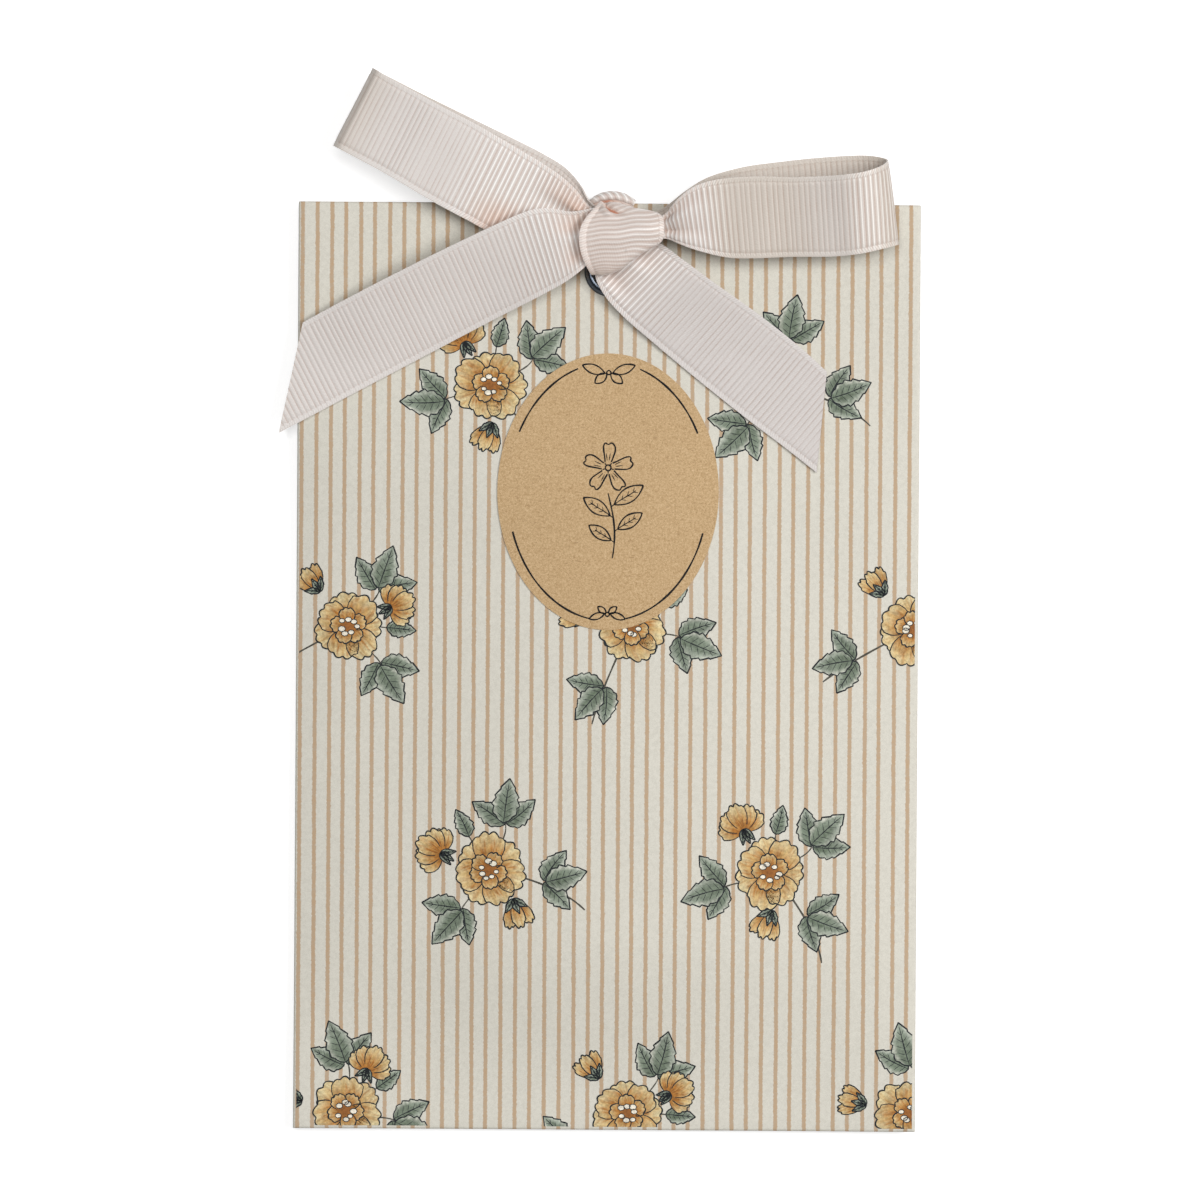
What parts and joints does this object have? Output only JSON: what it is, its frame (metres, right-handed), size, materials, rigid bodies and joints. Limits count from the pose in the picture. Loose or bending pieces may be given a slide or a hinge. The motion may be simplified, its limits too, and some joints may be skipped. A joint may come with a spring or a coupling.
{
  "type": "scented sachet",
  "caption": "Flat paper envelope filled with scented grains, closed at the top by an eyelet and a grosgrain ribbon tied in a bow, with an oval label on its printed face.",
  "frame": {"origin": "middle of the back's flat resting face", "axes": "+Z out of the printed face, +Y towards the eyelet end, +X to the right of the printed face"},
  "size_m": [0.1141, 0.1879, 0.0135],
  "materials": {
    "printed_paper": "matt uncoated paper with fine tan stripes",
    "kraft_label": "kraft paper sticker",
    "non_woven": "thin heat-sealed non-woven",
    "scented_grain": "expanded mineral grains",
    "dark_nickel": "dark nickel plate, polished",
    "grosgrain": "ribbed grosgrain ribbon with woven selvedges"
  },
  "bodies": {
    "envelope": {"front_panel": "printed_paper", "back_panel": "printed_paper", "oval_label": "kraft_label", "inner_pouch_back": "non_woven", "inner_pouch_front": "non_woven", "granule_fill": "scented_grain", "eyelet_barrel": "dark_nickel", "eyelet_washer": "dark_nickel", "hanger_strand": "grosgrain", "bow_knot": "grosgrain"},
    "left_loop": {"bow_loop_left": "grosgrain"},
    "left_tail": {"ribbon_tail_left": "grosgrain"},
    "right_loop": {"bow_loop_right": "grosgrain"},
    "right_tail": {"ribbon_tail_right": "grosgrain"}
  },
  "joints": [
    {"name": "left_loop_lift", "type": "hinge", "parent": "envelope", "child": "left_loop", "pos_m": [-0.0054, 0.079, 0.009], "axis": [0.443, 0.8965, 0], "range_deg": [0, 45]},
    {"name": "left_tail_lift", "type": "hinge", "parent": "left_loop", "child": "left_tail", "pos_m": [-0.0054, 0.0751, 0.0102], "axis": [-0.4617, 0.887, 0], "range_deg": [0, 35]},
    {"name": "right_loop_lift", "type": "hinge", "parent": "envelope", "child": "right_loop", "pos_m": [0.0101, 0.0772, 0.0098], "axis": [0.1305, -0.9914, 0], "range_deg": [0, 60]},
    {"name": "right_tail_lift", "type": "hinge", "parent": "envelope", "child": "right_tail", "pos_m": [0.0034, 0.0719, 0.0064], "axis": [-0.6374, -0.7705, 0], "range_deg": [0, 60]}
  ]
}
